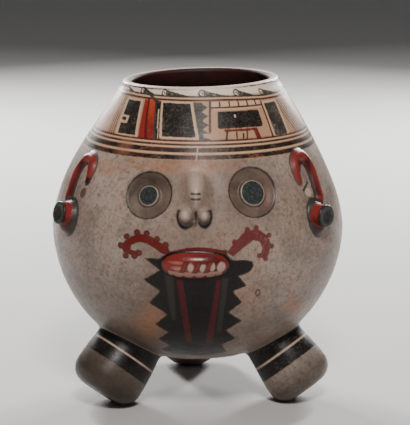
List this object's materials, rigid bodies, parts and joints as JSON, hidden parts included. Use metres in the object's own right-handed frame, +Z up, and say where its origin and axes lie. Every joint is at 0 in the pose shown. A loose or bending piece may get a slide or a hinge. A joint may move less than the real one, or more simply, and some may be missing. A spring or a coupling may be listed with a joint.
{
  "type": "tripod vase",
  "caption": "Round-bellied clay vase on three stub feet, with a modelled and painted face and an open mouth.",
  "frame": {"origin": "middle of the vase's footprint box on the plane that its three feet stand on", "axes": "+Z up, the face looks along -Y, +X to the right of someone who looks at the face"},
  "size_m": [0.2532, 0.2599, 0.2817],
  "materials": {
    "painted_clay": "burnished, painted in cream, red and black slip"
  },
  "bodies": {
    "root": {"vase": "painted_clay"}
  },
  "joints": []
}
